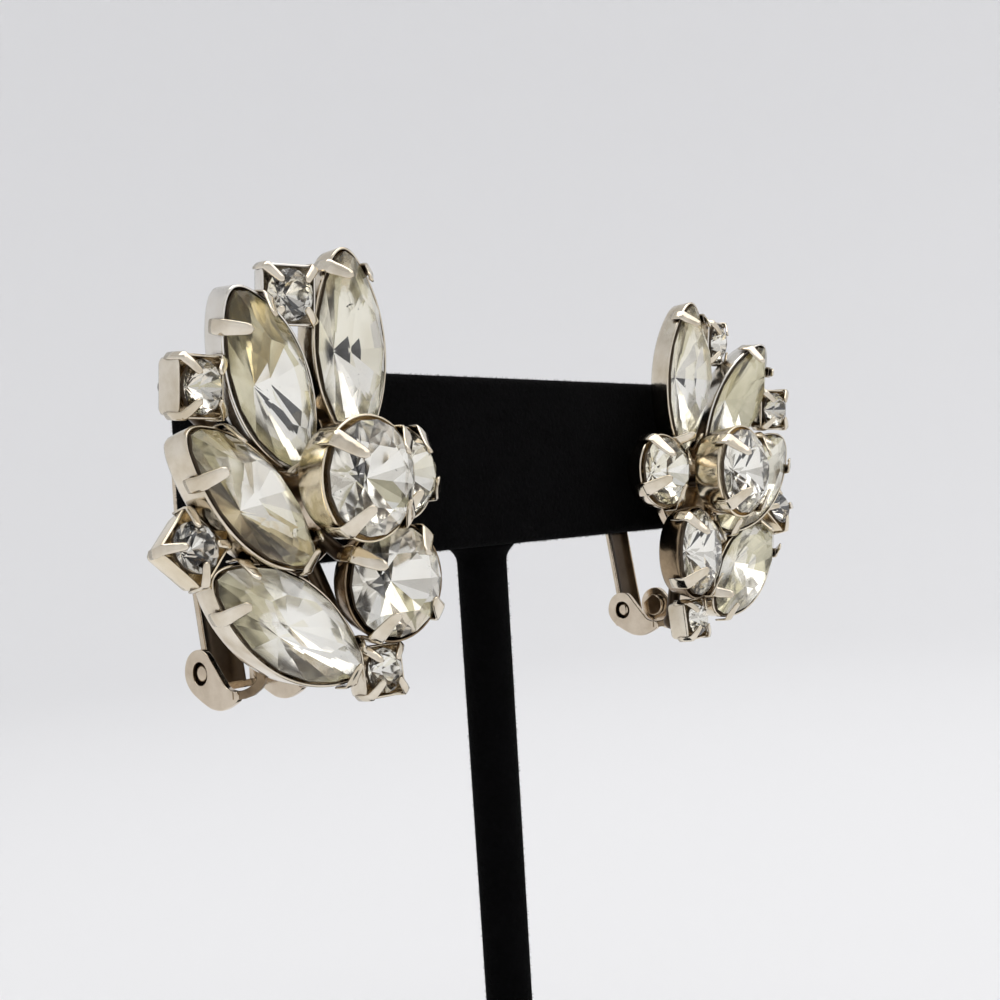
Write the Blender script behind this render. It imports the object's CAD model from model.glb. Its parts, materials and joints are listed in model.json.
import json
import math

import bmesh
import bpy
from mathutils import Euler, Matrix, Vector


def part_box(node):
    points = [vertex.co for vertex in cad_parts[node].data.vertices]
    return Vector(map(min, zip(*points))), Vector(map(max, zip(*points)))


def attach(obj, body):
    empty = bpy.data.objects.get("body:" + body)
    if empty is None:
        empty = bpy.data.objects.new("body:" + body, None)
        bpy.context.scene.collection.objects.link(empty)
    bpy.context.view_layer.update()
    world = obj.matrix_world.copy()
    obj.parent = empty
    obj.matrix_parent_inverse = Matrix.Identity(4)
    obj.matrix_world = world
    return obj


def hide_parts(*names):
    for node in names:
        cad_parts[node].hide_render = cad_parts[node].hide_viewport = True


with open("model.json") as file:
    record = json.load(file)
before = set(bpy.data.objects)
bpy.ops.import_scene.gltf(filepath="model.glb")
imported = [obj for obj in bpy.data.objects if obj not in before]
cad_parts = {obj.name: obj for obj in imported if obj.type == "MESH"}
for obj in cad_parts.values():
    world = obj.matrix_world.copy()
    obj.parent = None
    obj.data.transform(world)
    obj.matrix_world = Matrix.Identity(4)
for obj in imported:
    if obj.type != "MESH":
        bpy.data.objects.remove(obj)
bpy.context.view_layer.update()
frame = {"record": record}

# The velvet stand
# A base, a round stem and a bar of light board, all flocked with short black fibre.
# The bar's edges are soft, and the fibres stand out along them as a faint fuzz.

MM = 0.001


def finished(name, mesh, body, replaced=()):
    """A piece whose place is in its mesh, riding on a body."""
    piece = bpy.data.objects.new(name, mesh)
    bpy.context.scene.collection.objects.link(piece)
    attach(piece, body)
    if replaced:
        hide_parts(*replaced)
    return piece


def new_material(name, colour, roughness, metallic=0.0, **inputs):
    """A material with one Principled shader, and its plain values."""
    material = bpy.data.materials.new(name)
    material.use_nodes = True
    shader = material.node_tree.nodes["Principled BSDF"]
    shader.inputs["Base Color"].default_value = (*colour, 1)
    shader.inputs["Roughness"].default_value = roughness
    shader.inputs["Metallic"].default_value = metallic
    for socket, value in inputs.items():
        shader.inputs[socket.replace("_", " ")].default_value = value
    return material, shader


def add_node(tree, kind, **values):
    """A node of a tree with some of its inputs set."""
    node = tree.nodes.new(kind)
    for socket, value in values.items():
        node.inputs[socket.replace("_", " ")].default_value = value
    return node


def object_noise(tree, scale, detail=3.0, roughness=0.55):
    """Noise on the piece's own coordinates, in waves per metre."""
    place = tree.nodes.new("ShaderNodeTexCoord")
    noise = add_node(tree, "ShaderNodeTexNoise", Scale=scale, Detail=detail, Roughness=roughness)
    tree.links.new(place.outputs["Object"], noise.inputs["Vector"])
    return noise


def colour_mix(tree, amount, first, second):
    """A blend of two colours, each given as a value or as another node's output."""
    mix = tree.nodes.new("ShaderNodeMix")
    mix.data_type = "RGBA"
    tree.links.new(amount, mix.inputs[0])
    for socket, colour in ((mix.inputs[6], first), (mix.inputs[7], second)):
        if isinstance(colour, tuple):
            socket.default_value = (*colour, 1)
        else:
            tree.links.new(colour, socket)
    return mix.outputs[2]


def bumps(tree, noise, strength, height):
    """A normal that follows a noise, as high as a height in metres."""
    bump = add_node(tree, "ShaderNodeBump", Strength=strength, Distance=height)
    tree.links.new(noise.outputs["Fac"], bump.inputs["Height"])
    return bump.outputs["Normal"]


def velvet_material():
    """Black flock: almost no shine, with darker and lighter patches and a fine grain."""
    material, shader = new_material("velvet_flock", (0.002, 0.002, 0.002), 1.0, Sheen_Weight=0.01)
    shader.inputs["Specular IOR Level"].default_value = 0.03
    tree = material.node_tree
    pile = object_noise(tree, 2600, 4.0)
    patches = object_noise(tree, 130, 2.0)
    shade = colour_mix(tree, patches.outputs["Fac"], (0.001, 0.001, 0.001), (0.0035, 0.0035, 0.0038))
    tree.links.new(shade, shader.inputs["Base Color"])
    tree.links.new(bumps(tree, pile, 0.6, 0.0002), shader.inputs["Normal"])
    return material


velvet = velvet_material()


def mesh_of(bm, name, *materials):
    """The plain mesh of a finished bmesh, with its materials."""
    mesh = bpy.data.meshes.new(name)
    bm.to_mesh(mesh)
    bm.free()
    for material in materials:
        mesh.materials.append(material)
    return mesh


def close_rings(bm, rings):
    """Faces between each ring of points and the next; a ring may be one point."""
    for a, b in zip(rings, rings[1:]):
        count = max(len(a), len(b))
        for i in range(count):
            j = (i + 1) % count
            corners = [a[i % len(a)], a[j % len(a)], b[j % len(b)], b[i % len(b)]]
            kept = []
            for corner in corners:
                if corner not in kept:
                    kept.append(corner)
            bm.faces.new(kept).smooth = True


def soft_block(node, edge, steps):
    """A block as large as a CAD node, with rounded edges."""
    low, high = (Vector(corner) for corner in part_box(node))
    bm = bmesh.new()
    bmesh.ops.create_cube(bm, size=1.0)
    for v in bm.verts:
        v.co = Vector((low[i] + (v.co[i] + 0.5) * (high[i] - low[i]) for i in range(3)))
    bmesh.ops.bevel(bm, geom=list(bm.edges), offset=edge, segments=steps, profile=0.5, affect="EDGES")
    for face in bm.faces:
        face.smooth = True
    return mesh_of(bm, node, velvet)


def turned(name, profile, sides, material):
    """A mesh turned about the Z axis from a profile of (radius, height)."""
    bm = bmesh.new()
    rings = []
    for radius, height in profile:
        if radius < 1e-7:
            rings.append([bm.verts.new((0, 0, height))])
            continue
        turns = [2 * math.pi * i / sides for i in range(sides)]
        rings.append([bm.verts.new((radius * math.cos(t), radius * math.sin(t), height)) for t in turns])
    close_rings(bm, rings)
    return mesh_of(bm, name, material)


BAR_EDGE = 0.9 * MM
BASE_EDGE = 0.8 * MM
stem_low, stem_high = (Vector(corner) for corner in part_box("stand_stem"))
STEM_R = 2.35 * MM
STEM_FOOT_R = 2.1 * MM
FLARE_R = 3.2 * MM
FLARE_H = 1.5 * MM
stem_profile = [(0, stem_low.z), (STEM_FOOT_R, stem_low.z)]
for step in range(1, 13):
    along = step / 12
    stem_profile.append((STEM_FOOT_R + (STEM_R - STEM_FOOT_R) * along,
                         stem_low.z + (stem_high.z - FLARE_H - stem_low.z) * along))
for step in range(1, 6):
    along = step / 5
    stem_profile.append((STEM_R + (FLARE_R - STEM_R) * along ** 2, stem_high.z - FLARE_H * (1 - along)))
stem_profile.append((0, stem_high.z))

bar = finished("velvet_bar", soft_block("stand_bar", BAR_EDGE, 5), "root", ["stand_bar"])
finished("velvet_base", soft_block("stand_base", BASE_EDGE, 4), "root", ["stand_base"])
stem = finished("velvet_stem", turned("stem", stem_profile, 32, velvet), "root", ["stand_stem"])


def socket_id(tree, name):
    """The identifier that a modifier knows a tree's named input by."""
    return next(s.identifier for s in tree.interface.items_tree if s.name == name and s.in_out == "INPUT")


def geometry_tree(name, inputs):
    """An empty Geometry Nodes tree with its named inputs, and the Group Input and Output nodes."""
    tree = bpy.data.node_groups.new(name, "GeometryNodeTree")
    tree.interface.new_socket("Geometry", in_out="INPUT", socket_type="NodeSocketGeometry")
    for label, kind in inputs:
        tree.interface.new_socket(label, in_out="INPUT", socket_type=kind)
    tree.interface.new_socket("Geometry", in_out="OUTPUT", socket_type="NodeSocketGeometry")
    return tree, tree.nodes.new("NodeGroupInput"), tree.nodes.new("NodeGroupOutput")


def copies_on(tree, points, shape, **inputs):
    """Copies of a shape on points, as real geometry, with the outputs that turn or choose them."""
    place = tree.nodes.new("GeometryNodeInstanceOnPoints")
    real = tree.nodes.new("GeometryNodeRealizeInstances")
    tree.links.new(points, place.inputs["Points"])
    tree.links.new(shape, place.inputs["Instance"])
    for name, output in inputs.items():
        tree.links.new(output, place.inputs[name])
    tree.links.new(place.outputs["Instances"], real.inputs["Geometry"])
    return real.outputs["Geometry"]


def end_with(tree, geometry, start, end):
    """The last nodes of a tree: the geometry gets the tree's material."""
    finish = tree.nodes.new("GeometryNodeSetMaterial")
    tree.links.new(geometry, finish.inputs["Geometry"])
    tree.links.new(start.outputs["Material"], finish.inputs["Material"])
    tree.links.new(finish.outputs["Geometry"], end.inputs["Geometry"])


def made_by(tree, mesh, values):
    """The plain mesh that a Geometry Nodes tree makes from a mesh and its named values."""
    host = bpy.data.objects.new(tree.name + "_host", mesh)
    bpy.context.scene.collection.objects.link(host)
    modifier = host.modifiers.new(tree.name, "NODES")
    modifier.node_group = tree
    for label, value in values.items():
        modifier[socket_id(tree, label)] = value
    depsgraph = bpy.context.evaluated_depsgraph_get()
    result = bpy.data.meshes.new_from_object(host.evaluated_get(depsgraph), depsgraph=depsgraph)
    host.modifiers.remove(modifier)
    bpy.data.objects.remove(host)
    return result


def flock_tree():
    """Short fibres standing on every face, leaning a little at random."""
    tree, start, end = geometry_tree("flock", [
        ("Density", "NodeSocketFloat"), ("Length", "NodeSocketFloat"), ("Radius", "NodeSocketFloat"),
        ("Seed", "NodeSocketInt"), ("Material", "NodeSocketMaterial")])
    link = tree.links.new
    scatter = tree.nodes.new("GeometryNodeDistributePointsOnFaces")
    link(start.outputs["Geometry"], scatter.inputs["Mesh"])
    link(start.outputs["Density"], scatter.inputs["Density"])
    link(start.outputs["Seed"], scatter.inputs["Seed"])
    fibre = add_node(tree, "GeometryNodeMeshCone", Vertices=3, Radius_Top=0.0)
    fibre.fill_type = "NONE"
    link(start.outputs["Radius"], fibre.inputs["Radius Bottom"])
    link(start.outputs["Length"], fibre.inputs["Depth"])
    lean = tree.nodes.new("FunctionNodeRandomValue")
    lean.data_type = "FLOAT_VECTOR"
    lean.inputs[0].default_value = (-0.5, -0.5, -3.1)
    lean.inputs[1].default_value = (0.5, 0.5, 3.1)
    turn = tree.nodes.new("FunctionNodeRotateRotation")
    turn.rotation_space = "LOCAL"
    euler = tree.nodes.new("FunctionNodeEulerToRotation")
    link(lean.outputs[0], euler.inputs[0])
    link(scatter.outputs["Rotation"], turn.inputs[0])
    link(euler.outputs[0], turn.inputs[1])
    fibres = copies_on(tree, scatter.outputs["Points"], fibre.outputs["Mesh"], Rotation=turn.outputs[0])
    end_with(tree, fibres, start, end)
    return tree


FIBRE_LONG = 0.2 * MM
FIBRE_R = 0.016 * MM
flock = flock_tree()
for source, per_m2, seed in ((bar, 9.0e6, 3), (stem, 7.0e6, 5)):
    fibres = made_by(flock, source.data.copy(), {
        "Density": per_m2, "Length": FIBRE_LONG, "Radius": FIBRE_R, "Seed": seed, "Material": velvet})
    finished(source.name + "_flock", fibres, "root")

# The cluster's plan
# Every stone and its cup share one outline: two arcs with blunt tips for the long
# pointed stones, and a circle for the rest. All places are millimetres from the hub,
# and the right earring is the left one's mirror image.

NAVETTE_LONG = 15.0
NAVETTE_WIDE = 7.0
ARC_LONG = NAVETTE_LONG + 1.0
ARC_R = (ARC_LONG ** 2 + NAVETTE_WIDE ** 2) / (4 * NAVETTE_WIDE)
ARC_SHIFT = ARC_R - NAVETTE_WIDE / 2
TIP_BLUNT = 40


class Stone:
    """One stone's place and size, as in the table's columns."""

    def __init__(self, kind, node, inward, front, up, spin, left, tilt, size, depth, wall,
                 outer, middle="", heart=""):
        self.kind = kind
        self.node = node
        facing = Euler((math.radians(90 - tilt), 0, -math.radians(left))).to_matrix().to_4x4()
        self.place = (Matrix.Translation((inward, -front, up)) @ facing
                      @ Matrix.Rotation(math.radians(spin), 4, "Z"))
        self.size = size
        self.depth = depth
        self.wall = wall
        self.foils = (outer, middle or outer, heart or middle or outer)

    def outline(self, turn, grow=0.0):
        """A point of the outline at a turn from the top, grown outward by some millimetres."""
        if self.kind != "navette":
            return ((self.size / 2 + grow) * math.sin(turn), (self.size / 2 + grow) * math.cos(turn))
        y = (NAVETTE_LONG / 2 + grow) * math.cos(turn)
        x = math.sqrt((ARC_R + grow) ** 2 - y * y) - ARC_SHIFT
        blunt = math.sqrt(1 - abs(math.cos(turn)) ** TIP_BLUNT)
        return (math.copysign(x * blunt, math.sin(turn)), y)


# Columns: kind, node; place inward, to the front and up; spin, turn to the left and tilt in
# degrees; diameter, cup depth and the cup's plate; then the foil of each back facet from the
# top inward round: White, Cream, Khaki, Beige, Grey, Olive or Dark. Further letters are for
# the parts of the facets nearer to the stone's middle. A pointed stone's size is NAVETTE_LONG.
STONES = [
    Stone("navette", "navette_1", 4.46, 9.0, 10.9, 5.5, 0, -4.7, 0, 2.35, "pale", "CKCGCCCWWCWWCCCK",
          "CCCCCWWWWCWWCGCK", "CCCDDWWWWCWDGGCK"),
    Stone("navette", "navette_2", -4.1, 9.5, 8.1, 34, -4, -11, 0, 2.35, "silver", "KKKKCCWCCKKKKKKK",
          "KKKWWWDWCWWKKKKK"),
    Stone("navette", "navette_3", -6.35, 9.5, -0.3, 52, -14, 8, 0, 2.35, "pale", "KKKWWCKKCCBCCBCC",
          "KWWWWGCKCCCBCCCC"),
    Stone("navette", "navette_4", -3.65, 9.5, -9.5, 59, -2, 5, 0, 2.35, "pale", "OGCWCWCWWWCWCKKO",
          "KKCWWWWWWWWWWKKK", "CCWWWCWWWCWWWCCG"),
    Stone("round", "round_1", 1.63, 13.3, 0.84, -8, 0, -2, 8.7, 3.5, "tan", "WWWGWBWCWWGWWWWW",
          "WWGOKGWCWWGWWDWW"),
    Stone("round", "round_2", 6.5, 10.3, -7.15, 0, 8, -2, 8.7, 2.6, "brown", "WGWGKBBCWWWGWWWC",
          "WWWGWOBCWWGWWDWW"),
    Stone("round", "round_3", 9.7, 9.0, 1.3, 9, -5.5, 1, 6.8, 2.4, "pale", "CWCCWWCKCWCWCCWC"),
    Stone("accent", "accent_1", -1.48, 9.0, 14.7, 0, 11, -6.6, 3.9, 1.9, "silver", "GWGCWGDWGWGGWCDW"),
    Stone("accent", "accent_2", -10.9, 10.2, 7.57, 0, -9, -5, 3.8, 2.3, "pale", "GBGKGGBWKGBGDGKB"),
    Stone("accent", "accent_3", -11.74, 9.5, -3.3, 45, 0, 13, 3.7, 2.3, "tan", "DGDGWGBGDGGDGDGD"),
    Stone("accent", "accent_4", 5.8, 9.0, -14, 0, 3, 5, 3.5, 2.3, "pale", "GWCWWGCBWGCWGWGW"),
]

HINGE_BELOW_HUB = 13.4
HINGE_Y = 1.9
hinge_at = {joint["name"]: Vector(joint["pos_m"]) for joint in frame["record"]["behaviour"]["joints"]}
SIDES = {}
for side, flip in (("left", 1), ("right", -1)):
    at = hinge_at[side + "_clip_hinge"]
    hub = Matrix.Translation((at.x, at.y - HINGE_Y * MM, at.z + HINGE_BELOW_HUB * MM))
    SIDES[side] = hub @ Matrix.Diagonal((flip * MM, MM, MM, 1))


def worn(name, mesh, side, body, replaced=()):
    """A piece drawn in millimetres round the hub, put on its side of the stand."""
    copy = mesh.copy()
    copy.transform(SIDES[side])
    if side == "right":
        copy.flip_normals()
    return finished(side + "_" + name, copy, body, [side + "_" + node for node in replaced])


# The cups and prongs
# Stamped sheet cups, one under each stone, in pale plated metal that has warmed with
# age. Each cup's thin rim is rolled out a little, and flat prongs bend over the stone.

WALL = 0.22
# How far a prong's foot stands outside its stone's outline. On a square cup it stands at
# the corner, at this share of half the stone's size and a small step in.
PRONG_OUT = 0.33
CORNER_OUT = 1.41
CORNER_IN = 0.05


def stretched(tree, value, low, high):
    """A value as 0 at a low limit and 1 at a high one."""
    spread = add_node(tree, "ShaderNodeMapRange", From_Min=low, From_Max=high)
    tree.links.new(value, spread.inputs["Value"])
    return spread.outputs["Result"]


def effect_group(name, inputs, outputs):
    """An empty shader group with its named sockets, and its Group Input and Output nodes."""
    group = bpy.data.node_groups.new(name, "ShaderNodeTree")
    for way, sockets in (("INPUT", inputs), ("OUTPUT", outputs)):
        for label, kind in sockets.items():
            group.interface.new_socket(label, in_out=way, socket_type="NodeSocket" + kind)
    return group, group.nodes.new("NodeGroupInput"), group.nodes.new("NodeGroupOutput")


def add_effect(tree, group, **values):
    """A shader group placed in a material's tree with the material's own values."""
    node = tree.nodes.new("ShaderNodeGroup")
    node.node_tree = group
    for socket, value in values.items():
        node.inputs[socket].default_value = (*value, 1) if isinstance(value, tuple) else value
    return node


def worn_plate_group():
    """Colour, roughness and normal of old plating: warm clouds, fine rub marks and dimples."""
    group, start, end = effect_group(
        "worn_plate", {"Bright": "Color", "Dull": "Color", "Age": "Float", "Rub": "Float"},
        {"Colour": "Color", "Roughness": "Float", "Normal": "Vector"})
    link = group.links.new
    clouds = object_noise(group, 420, 4.0, 0.6)
    amount = group.nodes.new("ShaderNodeMath")
    amount.operation = "MULTIPLY"
    link(stretched(group, clouds.outputs["Fac"], 0.35, 0.75), amount.inputs[0])
    link(start.outputs["Age"], amount.inputs[1])
    plating = colour_mix(group, amount.outputs[0], start.outputs["Bright"], start.outputs["Dull"])
    crease = add_node(group, "ShaderNodeAmbientOcclusion", Distance=0.0007)
    crease.samples = 6
    open_air = stretched(group, crease.outputs["AO"], 0.25, 0.75)
    link(colour_mix(group, open_air, (0.10, 0.07, 0.045), plating), end.inputs["Colour"])
    rub = object_noise(group, 2400, 3.0, 0.6)
    rough = group.nodes.new("ShaderNodeMath")
    rough.operation = "MULTIPLY_ADD"
    rough.inputs[1].default_value = 0.16
    link(rub.outputs["Fac"], rough.inputs[0])
    link(start.outputs["Rub"], rough.inputs[2])
    link(rough.outputs[0], end.inputs["Roughness"])
    dents = object_noise(group, 900, 2.0, 0.5)
    link(bumps(group, dents, 0.25, 0.00012), end.inputs["Normal"])
    return group


worn_plate = worn_plate_group()


def plate_material(name, bright, dull, age, rub):
    """Worn plating, from its bright and dull colours and how far each wear has gone."""
    material, shader = new_material(name, bright, 0.3, 1.0)
    link = material.node_tree.links.new
    wear = add_effect(material.node_tree, worn_plate, Bright=bright, Dull=dull, Age=age, Rub=rub)
    link(wear.outputs["Colour"], shader.inputs["Base Color"])
    link(wear.outputs["Roughness"], shader.inputs["Roughness"])
    link(wear.outputs["Normal"], shader.inputs["Normal"])
    return material


PLATES = {
    "pale": plate_material("pale_plate", (0.84, 0.77, 0.65), (0.50, 0.40, 0.25), 0.7, 0.05),
    "silver": plate_material("silver_plate", (0.85, 0.82, 0.76), (0.60, 0.52, 0.40), 0.4, 0.1),
    "tan": plate_material("tan_plate", (0.88, 0.78, 0.60), (0.58, 0.46, 0.28), 0.6, 0.1),
    "brown": plate_material("brown_plate", (0.36, 0.27, 0.17), (0.09, 0.06, 0.04), 0.9, 0.12),
}
prong_plate = PLATES["pale"]
clip_plate = plate_material("clip_plate", (0.76, 0.66, 0.53), (0.42, 0.32, 0.21), 0.6, 0.1)
dark_plate = plate_material("dark_plate", (0.09, 0.065, 0.043), (0.04, 0.028, 0.018), 0.7, 0.25)


def cup_section(stone):
    """Side view of a cup's wall as (growth past the stone's outline, height)."""
    back = -stone.depth
    pull = 0.1 * stone.size / 2 if stone.kind == "round" else 0.25
    inner = 0.2 if stone.kind == "round" else 0.12
    rim = -0.2 if stone.kind == "round" else 0.0
    outer = inner + WALL
    inside = [(inner - pull, back + WALL), (inner - pull * 0.5, back * 0.55), (inner, rim - 0.12)]
    rolled_rim = [(inner + 0.02, rim - 0.03), (inner + 0.08, rim), (inner + 0.18, rim - 0.03),
                  (inner + 0.21, rim - 0.12)]
    outside = [(outer - 0.03, rim - 0.3), (outer - 0.04 - pull * 0.5, back * 0.55),
               (outer - 0.04 - pull, back + 0.3), (outer - 0.18 - pull, back + 0.07),
               (inner - pull - 0.3, back)]
    return inside + rolled_rim + outside


def cup_ring(bm, stone, grow, height, count):
    """One ring of a cup, as points in the earring's own millimetres."""
    if stone.kind == "accent":
        return square_ring(bm, stone, grow, height)
    turns = [2 * math.pi * (i + 0.5) / count for i in range(count)]
    return [bm.verts.new(stone.place @ Vector((*stone.outline(t, grow), height))) for t in turns]


def square_ring(bm, stone, grow, height, steps=4, corner=0.35):
    """A ring of a square cup with small round corners."""
    half = stone.size / 2 + grow
    points = []
    for quarter in range(4):
        for step in range(steps + 1):
            turn = math.pi / 2 * (quarter + step / steps)
            cx = (half - corner) * (1 if quarter in (0, 3) else -1)
            cy = (half - corner) * (1 if quarter in (0, 1) else -1)
            points.append((cx + corner * math.cos(turn), cy + corner * math.sin(turn)))
    points.reverse()
    return [bm.verts.new(stone.place @ Vector((x, y, height))) for x, y in points]


def add_cup(bm, stone):
    """One cup, closed from the middle of its floor round the rim to the middle of its back."""
    count = 64 if stone.kind == "navette" else 48
    rings = [[bm.verts.new(stone.place @ Vector((0, 0, WALL - stone.depth)))]]
    rings += [cup_ring(bm, stone, grow, height, count) for grow, height in cup_section(stone)]
    rings.append([bm.verts.new(stone.place @ Vector((0, 0, -stone.depth)))])
    before = set(bm.faces)
    close_rings(bm, rings)
    for face in set(bm.faces) - before:
        face.material_index = list(PLATES).index(stone.wall)


def bent_prong(name, low, stand, reach, rise, wide, tip_wide, thick):
    """A prong as an object: it stands at x = 0, then leans inward (to -x) over the stone's edge."""
    path = [(0.10, -low), (0.12, -low * 0.5), (0.13, 0.0), (0.10, 0.22), (-0.02, stand),
            (-0.25, stand + 0.13), (-reach * 0.5, stand + 0.13 + (rise - 0.13) * 0.4),
            (-reach * 0.85, stand + rise * 0.82), (-reach, stand + rise), (-reach - 0.1, stand + rise)]
    widths = [0.8, 1.0, 1.0, 1.0, 1.0, 0.97, 0.8, 0.6, 0.42]
    bm = bmesh.new()
    rings = []
    for i, (u, z) in enumerate(path):
        before, after = path[max(i - 1, 0)], path[min(i + 1, len(path) - 1)]
        run = Vector((after[0] - before[0], 0, after[1] - before[1])).normalized()
        out = Vector((-run.z, 0, run.x))
        if out.dot(Vector((1, 0, 0.3))) < 0:
            out = -out
        half = (tip_wide + (wide - tip_wide) * widths[i]) / 2 if i < len(widths) else tip_wide * 0.22
        ring = []
        for k in range(12):
            turn = 2 * math.pi * k / 12
            across = math.copysign(abs(math.cos(turn)) ** 0.7, math.cos(turn)) * half
            over = math.copysign(abs(math.sin(turn)) ** 0.8, math.sin(turn)) * thick / 2
            ring.append(bm.verts.new(Vector((u, across, z)) + out * (over + thick / 2)))
        rings.append(ring)
    foot, tip = ([bm.verts.new(sum((v.co for v in ring), Vector()) / len(ring))]
                 for ring in (rings[0], rings[-1]))
    close_rings(bm, [foot] + rings + [tip])
    bmesh.ops.recalc_face_normals(bm, faces=bm.faces)
    return bpy.data.objects.new(name, mesh_of(bm, name))


def prong_tree():
    """A prong on each point, turned as the point's attribute says."""
    tree, start, end = geometry_tree("prongs", [
        ("Prong", "NodeSocketObject"), ("Material", "NodeSocketMaterial")])
    link = tree.links.new
    master = tree.nodes.new("GeometryNodeObjectInfo")
    link(start.outputs["Prong"], master.inputs["Object"])
    turn = tree.nodes.new("GeometryNodeInputNamedAttribute")
    turn.data_type = "FLOAT_VECTOR"
    turn.inputs["Name"].default_value = "turn"
    euler = tree.nodes.new("FunctionNodeEulerToRotation")
    link(turn.outputs["Attribute"], euler.inputs[0])
    bent = copies_on(tree, start.outputs["Geometry"], master.outputs["Geometry"],
                     Rotation=euler.outputs[0])
    end_with(tree, bent, start, end)
    return tree


# How far each pointed stone's outer prongs stand from its middle, the outward one first
OUTER_PRONGS = {
    "navette_1": (6.1, 5.8),
    "navette_2": (5.7, 5.5),
    "navette_3": (5.2, 4.5),
    "navette_4": (5.8, 5.8),
}
INNER_PRONGS = 6.5
# Turns of a round stone's prongs from its top, in degrees to the inner side
ROUND_PRONGS = (-60, 39, 125, -150)


def prong_places(stone):
    """Places and turns, in the stone's own plane, of the prongs on its cup."""
    if stone.kind == "navette":
        outward, inward = OUTER_PRONGS[stone.node]
        for hand, outer in ((-1, outward), (1, inward)):
            for along in (outer, -INNER_PRONGS):
                out = math.asin(along / ARC_R)
                angle = out if hand > 0 else math.pi - out
                centre = Vector((-hand * ARC_SHIFT, 0, 0))
                yield centre + Vector((math.cos(angle), math.sin(angle), 0)) * (ARC_R + PRONG_OUT), angle
    elif stone.kind == "round":
        for turn in ROUND_PRONGS:
            angle = math.radians(90 - turn)
            yield Vector((math.cos(angle), math.sin(angle), 0)) * (stone.size / 2 + PRONG_OUT), angle
    else:
        for quarter in range(4):
            angle = math.pi / 4 + quarter * math.pi / 2
            reach = stone.size / 2 * CORNER_OUT - CORNER_IN
            yield Vector((math.cos(angle), math.sin(angle), 0)) * reach, angle


prongs = prong_tree()
MASTERS = {
    # how far it starts below the rim, stands above it, leans in and rises; width, tip, thickness
    "navette": bent_prong("navette_prong", 1.0, 0.34, 1.25, 1.15, 1.15, 0.45, 0.26),
    "round": bent_prong("round_prong", 1.4, 0.34, 2.0, 1.4, 1.45, 0.25, 0.28),
    "accent": bent_prong("accent_prong", 1.3, 0.22, 1.25, 0.5, 0.75, 0.4, 0.25),
}


def all_prongs(kind):
    """The prongs of every stone of a kind, as one mesh in the earring's millimetres."""
    points, turns = [], []
    for stone in STONES:
        if stone.kind == kind:
            for centre, angle in prong_places(stone):
                points.append(stone.place @ centre)
                turns.append((stone.place @ Matrix.Rotation(angle, 4, "Z")).to_euler())
    mesh = bpy.data.meshes.new(kind + "_prong_points")
    mesh.from_pydata(points, [], [])
    attribute = mesh.attributes.new("turn", "FLOAT_VECTOR", "POINT")
    for item, turn in zip(attribute.data, turns):
        item.vector = turn
    return made_by(prongs, mesh, {"Prong": MASTERS[kind], "Material": prong_plate})


cups_bm = bmesh.new()
for stone in STONES:
    add_cup(cups_bm, stone)
bmesh.ops.recalc_face_normals(cups_bm, faces=cups_bm.faces)
cups = mesh_of(cups_bm, "cups", *PLATES.values())
prong_meshes = {kind: all_prongs(kind) for kind in MASTERS}
for side in SIDES:
    worn("cups", cups, side, "root", ["setting"])
    for kind, mesh in prong_meshes.items():
        worn(kind + "_prongs", mesh, side, "root", ["setting"])

# The wires, hub and clip base
# Round wires soldered from a hub plate to the backs of the cups. The clip's sheet metal
# strip is soldered to the hub, and a thin arm curves from its foot to each of two ears.

WIRE_D = 1.3
BEAD_D = 1.7
# How far beads sit in their cups and wires in the hub, and the hub's edge that stays bare
BEAD_SUNK = 0.2
WIRE_SUNK = 0.3
HUB_BARE = 1.6
HUB_D = 12.0
HUB_FRONT = -5.6
HUB_BACK = -4.6
STRIP_FRONT = -4.7
STRIP_THICK = 0.6
STRIP_WIDE = 5.0
EARS_WIDE = 7.0
EAR_THICK = 0.55


def wire_tree():
    """Round wire along each edge, with a bead of solder at each marked end."""
    tree, start, end = geometry_tree("wires", [
        ("Wire radius", "NodeSocketFloat"), ("Bead radius", "NodeSocketFloat"),
        ("Material", "NodeSocketMaterial")])
    link = tree.links.new
    curve = tree.nodes.new("GeometryNodeMeshToCurve")
    link(start.outputs["Geometry"], curve.inputs["Mesh"])
    section = add_node(tree, "GeometryNodeCurvePrimitiveCircle", Resolution=16)
    link(start.outputs["Wire radius"], section.inputs["Radius"])
    sweep = tree.nodes.new("GeometryNodeCurveToMesh")
    sweep.inputs["Fill Caps"].default_value = True
    link(curve.outputs["Curve"], sweep.inputs["Curve"])
    link(section.outputs["Curve"], sweep.inputs["Profile Curve"])
    marked = tree.nodes.new("GeometryNodeInputNamedAttribute")
    marked.data_type = "BOOLEAN"
    marked.inputs["Name"].default_value = "bead"
    bead = add_node(tree, "GeometryNodeMeshIcoSphere", Subdivisions=3)
    link(start.outputs["Bead radius"], bead.inputs["Radius"])
    beads = copies_on(tree, start.outputs["Geometry"], bead.outputs["Mesh"],
                      Selection=marked.outputs["Attribute"])
    join = tree.nodes.new("GeometryNodeJoinGeometry")
    link(beads, join.inputs["Geometry"])
    link(sweep.outputs["Mesh"], join.inputs["Geometry"])
    smooth = tree.nodes.new("GeometryNodeSetShadeSmooth")
    link(join.outputs["Geometry"], smooth.inputs["Geometry"])
    end_with(tree, smooth.outputs["Geometry"], start, end)
    return tree


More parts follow.
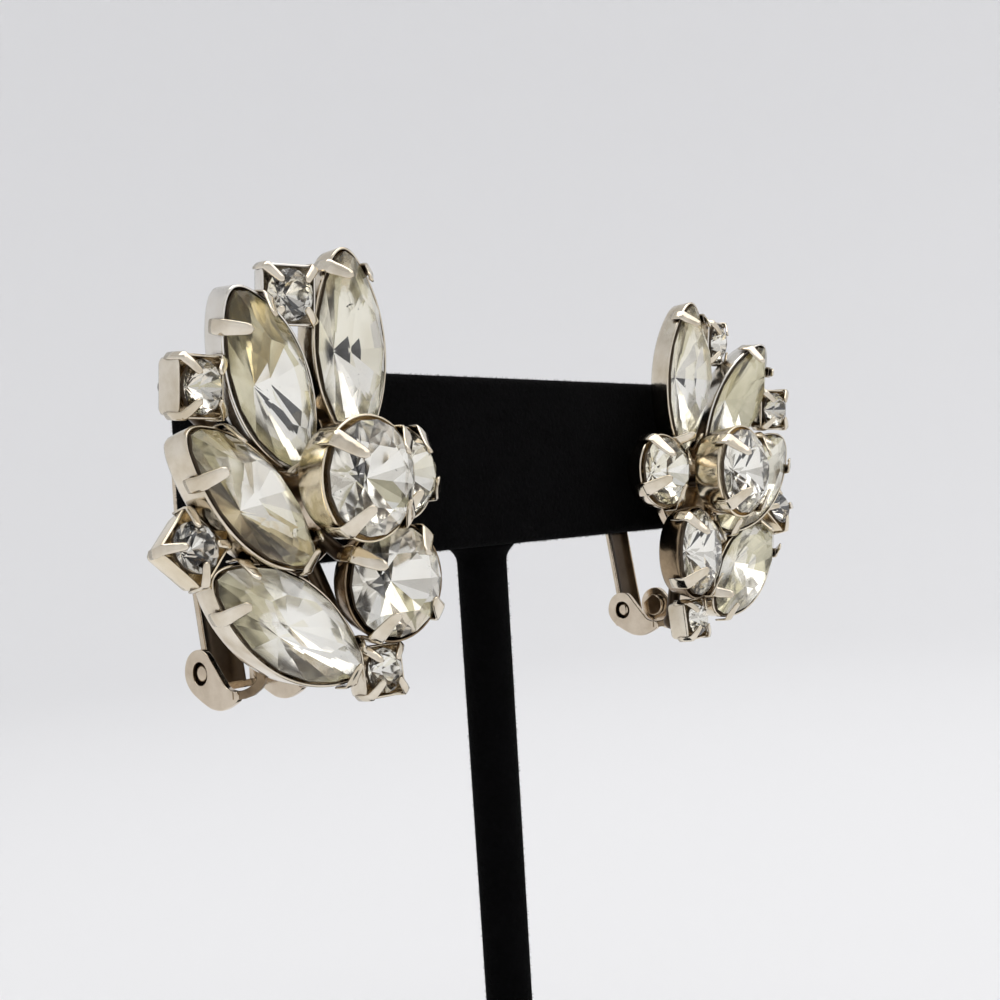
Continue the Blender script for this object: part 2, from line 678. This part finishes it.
def wire_mesh():
    """Wires from the hub to the middle of each cup's back, clear of its inside."""
    points, edges, beads = [], [], []
    reach = HUB_D / 2 - HUB_BARE
    for stone in STONES:
        to = stone.place @ Vector((0, 0, -(stone.depth + BEAD_D / 2 - BEAD_SUNK)))
        k = min(1.0, reach / math.hypot(to.x, to.z))
        start = Vector((to.x * k, HUB_FRONT + WIRE_D / 2 - WIRE_SUNK, to.z * k))
        if stone.node == "round_1":
            # the high middle stone stands on a straight post, a little off its middle
            to = to + Vector((0.75, 0, -0.8))
            start = Vector((to.x, HUB_FRONT + WIRE_SUNK, to.z))
        edges.append((len(points), len(points) + 1))
        points += [start, to]
        beads += [False, True]
    mesh = bpy.data.meshes.new("wire_lines")
    mesh.from_pydata(points, edges, [])
    attribute = mesh.attributes.new("bead", "BOOLEAN", "POINT")
    for item, value in zip(attribute.data, beads):
        item.value = value
    return made_by(wire_tree(), mesh, {
        "Wire radius": WIRE_D / 2, "Bead radius": BEAD_D / 2, "Material": dark_plate})


def sheet_from_outline(name, loops, thick, edge, axis_x, material):
    """A flat plate from closed loops of (y, z) points, edges rounded, lying across X."""
    curve = bpy.data.curves.new(name, "CURVE")
    curve.dimensions = "2D"
    curve.fill_mode = "BOTH"
    curve.extrude = thick / 2 - edge
    curve.bevel_depth = edge
    curve.bevel_resolution = 3
    for loop in loops:
        spline = curve.splines.new("POLY")
        spline.points.add(len(loop) - 1)
        for point, (y, z) in zip(spline.points, loop):
            point.co = (y, z, 0, 1)
        spline.use_cyclic_u = True
    host = bpy.data.objects.new(name, curve)
    bpy.context.scene.collection.objects.link(host)
    depsgraph = bpy.context.evaluated_depsgraph_get()
    mesh = bpy.data.meshes.new_from_object(host.evaluated_get(depsgraph), depsgraph=depsgraph)
    bpy.data.objects.remove(host)
    stand = Matrix(((0, 0, 1, axis_x), (1, 0, 0, 0), (0, 1, 0, 0), (0, 0, 0, 1)))
    mesh.transform(stand)
    mesh.materials.clear()
    mesh.materials.append(material)
    return mesh


def smooth_loop(points, steps=6):
    """A closed smooth line through points, as many points between each pair."""
    loop = []
    count = len(points)
    for i in range(count):
        p0, p1, p2, p3 = (Vector(points[(i + k) % count]) for k in (-1, 0, 1, 2))
        for step in range(steps):
            t = step / steps
            loop.append(0.5 * (2 * p1 + (p2 - p0) * t + (2 * p0 - 5 * p1 + 4 * p2 - p3) * t * t
                               + (3 * p1 - p0 - 3 * p2 + p3) * t ** 3))
    return [tuple(p) for p in loop]


def circle(y, z, r, count=40, first=0.0):
    """Points round a circle in the side view, from the first turn on."""
    turns = [first + 2 * math.pi * i / count for i in range(count)]
    return [(y + r * math.cos(t), z + r * math.sin(t)) for t in turns]


EAR_HOLE_R = 1.0
# How far the edges of the sheet metal are rounded
SHEET_ROUND = 0.09
STRIP_ROUND = 0.08
# Side view of a hinge ear, from its top down the front edge to the arm and back up
EAR_EDGE = [
    (1.9, -11.6), (1.1, -11.8), (0.25, -12.75), (-0.6, -13.75), (-1.15, -14.35), (-1.8, -14.62),
    (-2.45, -14.72), (-2.5, -15.08), (-2.1, -15.45), (-0.75, -16.02), (0.5, -16.02), (1.4, -15.7),
    (2.3, -15.25), (3.05, -14.75), (3.6, -14.0), (3.68, -13.2), (3.35, -12.35), (2.7, -11.8),
]
# Side view of a thin arm that curves from an ear up to the strip. It is drawn from y = 0,
# put at ARM_Y and turned to the middle by some degrees.
ARM_Y = -2.2
ARM_TURN = 19
ARM_THICK = EAR_THICK - 0.05
ARM_EDGE = [
    (0.2, -14.7), (0, -14.7), (-0.6, -14.62), (-1.15, -14.42), (-1.65, -14.12), (-2, -13.75),
    (-2.1, -12.9), (-2.5, -12.9), (-2.5, -13.9), (-2.2, -14.35), (-1.55, -14.83), (-0.8, -15.07),
    (0, -15.15), (0.2, -15.15),
]
STRIP_BACK = STRIP_FRONT + STRIP_THICK
STRIP_TOP = 6
STRIP_FOOT = -13.4
STRIP_EDGE = [(STRIP_FRONT, STRIP_TOP), (STRIP_FRONT, STRIP_FOOT), (STRIP_BACK, STRIP_FOOT),
              (STRIP_BACK, STRIP_TOP)]


def hub_mesh():
    """The hub plate, a disc with rounded edges whose faces look to the front and back."""
    half = (HUB_BACK - HUB_FRONT) / 2
    edge = 0.12
    profile = [(0, -half), (HUB_D / 2 - edge, -half), (HUB_D / 2, edge - half), (HUB_D / 2, half - edge),
               (HUB_D / 2 - edge, half), (0, half)]
    mesh = turned("hub", profile, 48, clip_plate)
    middle = Matrix.Translation((0, (HUB_FRONT + HUB_BACK) / 2, 0))
    mesh.transform(middle @ Matrix.Rotation(math.pi / 2, 4, "X"))
    for polygon in mesh.polygons:
        polygon.use_smooth = False
    return mesh


def joined(name, meshes):
    """Several meshes as one, each face in the material that it had."""
    bm = bmesh.new()
    materials = []
    for mesh in meshes:
        materials += [material for material in mesh.materials if material not in materials]
        slots = [materials.index(material) for material in mesh.materials]
        first = len(bm.faces)
        bm.from_mesh(mesh)
        bm.faces.ensure_lookup_table()
        for face in bm.faces[first:]:
            face.material_index = slots[face.material_index]
    return mesh_of(bm, name, *materials)


ear_loops = [smooth_loop(EAR_EDGE), circle(HINGE_Y, -HINGE_BELOW_HUB, EAR_HOLE_R)[::-1]]
ear_x = (EARS_WIDE - EAR_THICK) / 2
back_parts = [
    hub_mesh(),
    sheet_from_outline("strip", [STRIP_EDGE], STRIP_WIDE, STRIP_ROUND, 0, clip_plate),
    sheet_from_outline("ear_a", ear_loops, EAR_THICK, SHEET_ROUND, -ear_x, clip_plate),
    sheet_from_outline("ear_b", ear_loops, EAR_THICK, SHEET_ROUND, ear_x, clip_plate),
]
for hand in (-1, 1):
    arm = sheet_from_outline("arm", [ARM_EDGE], ARM_THICK, SHEET_ROUND, 0, PLATES["brown"])
    turn = Matrix.Rotation(-hand * math.radians(ARM_TURN), 4, "Z")
    arm.transform(Matrix.Translation((hand * ear_x, ARM_Y, 0)) @ turn)
    back_parts.append(arm)
clip_base = joined("clip_base", back_parts)
wires = wire_mesh()
for side in SIDES:
    worn("clip_base", clip_base, side, "root", ["setting"])
    worn("back_wires", wires, side, "root", ["setting"])

# The paddle
# A pressed sheet lever: a channelled neck whose foot carries two lugs with dimpled
# studs that turn in the ears' holes, and a slightly dished oval pad behind the bar.

NECK_Y = 3.2
NECK_Z = -11.9
NECK_LEAN = 8.6
NECK_WIDE = 3.6
PADDLE_THICK = 0.7
FOOT_BELOW = 3.3
FOOT_HIGH = 0.6
NECK_LONG = 10.9
LUG_OUT = EARS_WIDE / 2 - EAR_THICK - 0.1
LUG_THICK = 0.45
LUG_R = 1.1
PAD_FRONT = 4.3
PAD_BASE = -4.6
PAD_WIDE = 5.6
PAD_LONG = 11.0
neck_place = Matrix.Translation((0, NECK_Y, NECK_Z)) @ Matrix.Rotation(-math.radians(NECK_LEAN), 4, "X")


def neck_mesh():
    """The neck, a shallow channel that is open to the front."""
    bm = bmesh.new()
    half = NECK_WIDE / 2
    section = [(-half, 0.03), (-half + 0.1, 0.0), (-half + 0.24, 0.03), (-half + 0.34, 0.36),
               (-0.6, 0.42), (0.6, 0.42), (half - 0.34, 0.36), (half - 0.24, 0.03),
               (half - 0.1, 0.0), (half, 0.03), (half, 0.5), (half - 0.2, 0.68),
               (-half + 0.2, 0.68), (-half, 0.5)]
    rings = []
    for step in range(13):
        z = -FOOT_BELOW + NECK_LONG * step / 12
        rings.append([bm.verts.new(neck_place @ Vector((x, y, z))) for x, y in section])
    close_rings(bm, rings)
    for ring, order in ((rings[0], 1), (rings[-1], -1)):
        bm.faces.new(ring[::order])
    channel = {v for ring in rings for v in ring[2:10]}
    for face in bm.faces:
        face.material_index = 1 if len(face.verts) == 4 and all(v in channel for v in face.verts) else 0
    bmesh.ops.recalc_face_normals(bm, faces=bm.faces)
    return mesh_of(bm, "neck", clip_plate, dark_plate)


def foot_mesh():
    """The foot, a bar as wide as the room between the ears, across the neck's lower end."""
    bm = bmesh.new()
    middle = Matrix.Translation((0, PADDLE_THICK / 2, FOOT_HIGH / 2 - FOOT_BELOW))
    size = Matrix.Diagonal((2 * LUG_OUT, PADDLE_THICK, FOOT_HIGH, 1))
    bmesh.ops.create_cube(bm, size=1.0, matrix=neck_place @ middle @ size)
    bmesh.ops.bevel(bm, geom=list(bm.edges), offset=0.1, segments=2, affect="EDGES")
    return mesh_of(bm, "foot", clip_plate)


def stud_mesh(hand):
    """A stud in an ear's hole, drawn along X from the lug: a dark pin with a low plated dome."""
    pin = EAR_HOLE_R - 0.05
    reach = 0.1 + EAR_THICK
    dome_r, dome_h = 0.64, 0.24
    shoulder = turned("pin", [(0, 0), (pin, 0), (pin, reach * 0.35), (0, reach * 0.35)], 32, dark_plate)
    dome = [(0, 0.02), (dome_r, 0.02), (dome_r, reach * 0.55)]
    dome += [(dome_r * math.cos(t), reach * 0.55 + dome_h * math.sin(t)) for t in (0.3, 0.6, 0.9, 1.2)]
    dome.append((0, reach * 0.55 + dome_h))
    mesh = joined("stud", [shoulder, turned("dome", dome, 32, clip_plate)])
    mesh.transform(Matrix.Translation((hand * LUG_OUT, HINGE_Y, -HINGE_BELOW_HUB))
                   @ Matrix.Rotation(hand * math.pi / 2, 4, "Y"))
    return mesh


def pad_mesh():
    """The pad, an oval plate dished a little to the bar."""
    half = PAD_WIDE / 2
    low, high = PAD_BASE + half, PAD_BASE + PAD_LONG - half
    bm = bmesh.new()
    rings = []
    sides = 64
    # Share of the pad's outline, and how far behind its front edge
    for size, front in ((0, 0.14), (0.5, 0.12), (0.85, 0.04), (0.96, 0.0), (1.0, 0.1),
                        (1.0, 0.5), (0.96, 0.66), (0.85, 0.7), (0.5, 0.7), (0, 0.7)):
        if size == 0:
            rings.append([bm.verts.new((0, PAD_FRONT + front, (low + high) / 2))])
            continue
        ring = []
        for i in range(sides):
            t = 2 * math.pi * i / sides
            z = (high if math.sin(t) > 0 else low) - (low + high) / 2
            ring.append(bm.verts.new((half * size * math.cos(t), PAD_FRONT + front,
                                      (low + high) / 2 + (z + half * math.sin(t)) * size)))
        rings.append(ring)
    close_rings(bm, rings)
    bmesh.ops.recalc_face_normals(bm, faces=bm.faces)
    return mesh_of(bm, "pad", clip_plate)


# Side view of a lug: round the hinge line, then down and back to the foot
LUG_LOW = 1.7
LUG_BACK = 1.2
LUG_ROUND = 0.06
LUG_EDGE = circle(HINGE_Y, -HINGE_BELOW_HUB, LUG_R, 24, math.pi / 2)[:17] + [
    (HINGE_Y + 0.3, -HINGE_BELOW_HUB - LUG_LOW), (HINGE_Y + LUG_BACK, -HINGE_BELOW_HUB - LUG_LOW),
    (HINGE_Y + LUG_BACK, -HINGE_BELOW_HUB + 0.2)]
lug_x = LUG_OUT - LUG_THICK / 2
paddle = joined("paddle", [neck_mesh(), foot_mesh(), stud_mesh(-1), stud_mesh(1), pad_mesh()] + [
    sheet_from_outline("lug", [LUG_EDGE], LUG_THICK, LUG_ROUND, x, clip_plate) for x in (-lug_x, lug_x)])
for side in SIDES:
    worn("clip_paddle", paddle, side, side + "_clip", ["paddle"])

# The stones
# Cut clear glass with a mirror foil on the pointed back. Each has a flat table, main
# facets round it and small ones at the girdle. The old foil has yellowed and flaked,
# more on the long pointed stones, where it has gone dull.

STONE_SHAPE = {
    # table size, crown height, back depth
    "navette": (0.5, 1.8, 1.95),
    "round": (0.56, 1.5, 2.15),
    "accent": (0.56, 0.85, 1.45),
}
GIRDLE = 0.15
# Where the facets of a round back break, and the bands of foil on a long one, as shares of it
BREAK = 0.5
HEART_BAND = 0.3
MIDDLE_BAND = 0.62
# How far out the points of a round crown's star facets stand
STAR = 0.79


def scratches_group():
    """Normal of polished glass with faint scratches."""
    group, start, end = effect_group("faint_scratches", {"Strength": "Float"}, {"Normal": "Vector"})
    scratches = object_noise(group, 5200, 2.0, 0.7)
    bump = add_node(group, "ShaderNodeBump", Distance=0.00002)
    group.links.new(start.outputs["Strength"], bump.inputs["Strength"])
    group.links.new(scratches.outputs["Fac"], bump.inputs["Height"])
    group.links.new(bump.outputs["Normal"], end.inputs["Normal"])
    return group


def aged_foil_group():
    """Colour of an old mirror foil: yellowed clouds, and dark specks where it has flaked."""
    group, start, end = effect_group(
        "aged_foil", {"Fresh": "Color", "Aged": "Color", "Age": "Float"}, {"Colour": "Color"})
    clouds = object_noise(group, 330, 3.0, 0.5)
    aging = group.nodes.new("ShaderNodeMath")
    aging.operation = "MULTIPLY_ADD"
    aging.inputs[1].default_value = 0.4
    group.links.new(start.outputs["Age"], aging.inputs[0])
    group.links.new(clouds.outputs["Fac"], aging.inputs[2])
    yellowed = stretched(group, aging.outputs[0], 0.62, 0.92)
    mirror = colour_mix(group, yellowed, start.outputs["Fresh"], start.outputs["Aged"])
    specks = object_noise(group, 1900, 4.0, 0.6)
    flaked = stretched(group, specks.outputs["Fac"], 0.70, 0.73)
    group.links.new(colour_mix(group, flaked, mirror, (0.03, 0.028, 0.025)), end.inputs["Colour"])
    return group


faint_scratches = scratches_group()
aged_foil = aged_foil_group()


def glass_material(name, colour):
    """Polished glass, clear or tinted."""
    material, shader = new_material(name, colour, 0.0, 0.0, Transmission_Weight=1.0, IOR=1.45)
    marks = add_effect(material.node_tree, faint_scratches, Strength=0.03)
    material.node_tree.links.new(marks.outputs["Normal"], shader.inputs["Normal"])
    return material


def foil_material(name, fresh, aged, age, rough):
    """Mirror foil, from its fresh and aged colours and how far it has aged."""
    material, shader = new_material(name, fresh, rough, 1.0)
    look = add_effect(material.node_tree, aged_foil, Fresh=fresh, Aged=aged, Age=age)
    material.node_tree.links.new(look.outputs["Colour"], shader.inputs["Base Color"])
    return material


glass = glass_material("clear_glass", (0.99, 0.985, 0.95))
grime, _ = new_material("girdle_grime", (0.09, 0.065, 0.04), 0.6)
smoky = glass_material("smoky_glass", (0.03, 0.03, 0.032))
FOIL_TONES = {
    # name, fresh colour, aged colour, how far it has aged
    "W": ("white", (0.985, 0.975, 0.945), (0.95, 0.92, 0.86), 0.3),
    "C": ("cream", (0.93, 0.905, 0.81), (0.84, 0.80, 0.68), 0.5),
    "K": ("khaki", (0.75, 0.71, 0.54), (0.62, 0.58, 0.42), 0.6),
    "B": ("beige", (0.88, 0.82, 0.73), (0.78, 0.71, 0.60), 0.5),
    "G": ("grey", (0.74, 0.72, 0.68), (0.62, 0.59, 0.54), 0.4),
    "O": ("olive", (0.50, 0.47, 0.33), (0.38, 0.35, 0.24), 0.6),
    "D": ("dark", (0.13, 0.13, 0.135), (0.06, 0.055, 0.05), 0.4),
}


def foil_set(finish, rough):
    """A foil material of each tone, duller or brighter."""
    return [foil_material(f"{finish}_{tone}_foil", fresh, aged, age, rough)
            for tone, fresh, aged, age in FOIL_TONES.values()]


dull_foils = foil_set("dull", 0.16)
bright_foils = foil_set("bright", 0.1)
STONE_FOILS = {"navette": dull_foils, "round": bright_foils, "accent": bright_foils}
# The order of a stone's materials
GLASS_SLOT, GRIME_SLOT, SMOKY_SLOT, FIRST_FOIL = range(4)


def split_star(bm, a, b, top):
    """The star facet towards the viewer: two smoky triangles on the table's edge, clear round them."""
    middle = bm.verts.new((a.co + b.co) / 2)
    first = bm.verts.new(a.co.lerp(top.co, 0.8))
    second = bm.verts.new(b.co.lerp(top.co, 0.8))
    bm.faces.new((a, middle, first)).material_index = SMOKY_SLOT
    bm.faces.new((middle, b, second)).material_index = SMOKY_SLOT
    bm.faces.new((middle, second, top, first)).material_index = GLASS_SLOT


def stone_mesh(stone):
    """A faceted stone: the crown in glass, the back facets each in their foil."""
    table, crown, back = STONE_SHAPE[stone.kind]
    step = 2 * math.pi / 16
    star_z = crown - (STAR * math.cos(step) - table) * (crown - GIRDLE) / (1 - table)
    break_z = -GIRDLE - (1 - BREAK * math.cos(step)) * (back - GIRDLE)
    bm = bmesh.new()

    def ring(size, z, count, first):
        points = [stone.outline(first + 2 * math.pi * i / count) for i in range(count)]
        return [bm.verts.new((size * x, size * y, z)) for x, y in points]

    def facet(corners, slot):
        bm.faces.new(corners).material_index = slot

    def foil(i, level):
        return FIRST_FOIL + list(FOIL_TONES).index(stone.foils[level][i])

    t, g, h = ring(table, crown, 8, 0), ring(1, GIRDLE, 16, 0), ring(1, -GIRDLE, 16, 0)
    tip = bm.verts.new((0, 0, -back))
    facet(t, GLASS_SLOT)
    if stone.kind == "navette":
        q = ring(HEART_BAND, -back + HEART_BAND * (back - GIRDLE), 16, 0)
        r = ring(MIDDLE_BAND, -back + MIDDLE_BAND * (back - GIRDLE), 16, 0)
        for i in range(16):
            n = (i + 1) % 16
            facet((tip, q[i], q[n]), foil(i, 2))
            facet((q[i], r[i], r[n], q[n]), foil(i, 1))
            facet((r[i], h[i], h[n], r[n]), foil(i, 0))
        for i in range(8):
            n = (i + 1) % 8
            facet((t[i], t[n], g[2 * i + 1]), GLASS_SLOT)
            facet((t[i], g[2 * i + 1], g[2 * i]), GLASS_SLOT)
            facet((t[n], g[2 * n], g[2 * i + 1]), GLASS_SLOT)
    else:
        m, p = ring(STAR, star_z, 8, step), ring(BREAK, break_z, 8, step)
        for i in range(8):
            n = (i + 1) % 8
            if stone.kind == "round" and i == 5:
                split_star(bm, t[i], t[n], m[i])
            else:
                facet((t[i], t[n], m[i]), GLASS_SLOT)
            facet((t[n], g[2 * n], m[i]), GLASS_SLOT)
            facet((t[n], m[n], g[2 * n]), GLASS_SLOT)
            facet((m[i], g[2 * i + 1], g[2 * i]), GLASS_SLOT)
            facet((m[i], g[2 * n], g[2 * i + 1]), GLASS_SLOT)
            facet((p[i], h[2 * i], h[2 * i + 1]), foil(2 * i, 0))
            facet((p[i], h[2 * i + 1], h[2 * n]), foil(2 * i + 1, 0))
            facet((tip, h[2 * i], p[i]), foil(2 * i, 1))
            facet((tip, p[i], h[2 * n]), foil(2 * i + 1, 1))
    for i in range(16):
        facet((g[i], g[(i + 1) % 16], h[(i + 1) % 16], h[i]), GRIME_SLOT)
    bmesh.ops.recalc_face_normals(bm, faces=bm.faces)
    if stone.kind == "round":
        bm.transform(Matrix.Rotation(-step, 4, "Z"))
    bm.transform(stone.place)
    return mesh_of(bm, stone.node, glass, grime, smoky, *STONE_FOILS[stone.kind])


for stone in STONES:
    cut = stone_mesh(stone)
    for side in SIDES:
        worn(stone.node, cut, side, "root", [stone.node])

# The studio
# A pale seamless floor that rises into a round backdrop, one large soft light above and
# one high at the front, and the camera at the photograph's place, tipped as it was.


def backdrop():
    """A round floor that bends up into a wall."""
    flat, bend, high = 0.45, 0.35, 0.5
    profile = [(0, 0), (flat, 0)]
    for step in range(1, 13):
        t = math.pi / 2 * step / 12
        profile.append((flat + bend * math.sin(t), bend * (1 - math.cos(t))))
    profile.append((flat + bend, bend + high))
    paper, _ = new_material("pale_paper", (0.80, 0.80, 0.81), 0.9)
    return bpy.data.objects.new("backdrop", turned("backdrop", profile, 96, paper))


floor = backdrop()
bpy.context.scene.collection.objects.link(floor)


def soft_light(name, place, aim, wide, high, power, colour):
    """A rectangular light of some watts that points at a place."""
    lamp = bpy.data.lights.new(name, "AREA")
    lamp.shape = "RECTANGLE"
    lamp.size = wide
    lamp.size_y = high
    lamp.energy = power
    lamp.color = colour
    holder = bpy.data.objects.new(name, lamp)
    holder.location = place
    holder.rotation_euler = (Vector(aim) - Vector(place)).to_track_quat("-Z", "Y").to_euler()
    bpy.context.scene.collection.objects.link(holder)


soft_light("top_light", (0.0, 0.05, 0.75), (0, 0, 0.07), 0.5, 0.5, 1.8, (1.0, 0.99, 0.97))
soft_light("front_light", (0.30, -0.39, 0.75), (0, 0, -0.1), 0.85, 0.85, 2.7, (1.0, 0.99, 0.98))

world = bpy.data.worlds.new("studio")
world.use_nodes = True
sky = world.node_tree.nodes["Background"]
sky.inputs["Color"].default_value = (0.88, 0.89, 0.91, 1)
sky.inputs["Strength"].default_value = 0.63
bpy.context.scene.world = world
bpy.context.scene.view_settings.view_transform = "Standard"

CAMERA_AT = Vector((-97.45, -85.37, 68.64)) * MM
CAMERA_TURN = 49.7
CAMERA_ROLL = 3.6
PHOTO_FOCAL_PX = 1370
PHOTO_PX = 1000
camera_data = bpy.data.cameras.new("camera")
camera_data.sensor_width = 36
camera_data.sensor_fit = "HORIZONTAL"
camera_data.lens = PHOTO_FOCAL_PX / PHOTO_PX * camera_data.sensor_width
camera_data.clip_start = 0.005
camera = bpy.data.objects.new("camera", camera_data)
level = Matrix.Rotation(-math.radians(CAMERA_TURN), 4, "Z") @ Matrix.Rotation(math.pi / 2, 4, "X")
camera.matrix_world = (Matrix.Translation(CAMERA_AT) @ level
                       @ Matrix.Rotation(-math.radians(CAMERA_ROLL), 4, "Z"))
bpy.context.scene.collection.objects.link(camera)
bpy.context.scene.camera = camera
# Light crosses a foil-backed stone several times before it leaves
bpy.context.scene.cycles.max_bounces = 18
bpy.context.scene.cycles.glossy_bounces = 12
bpy.context.scene.cycles.transmission_bounces = 14
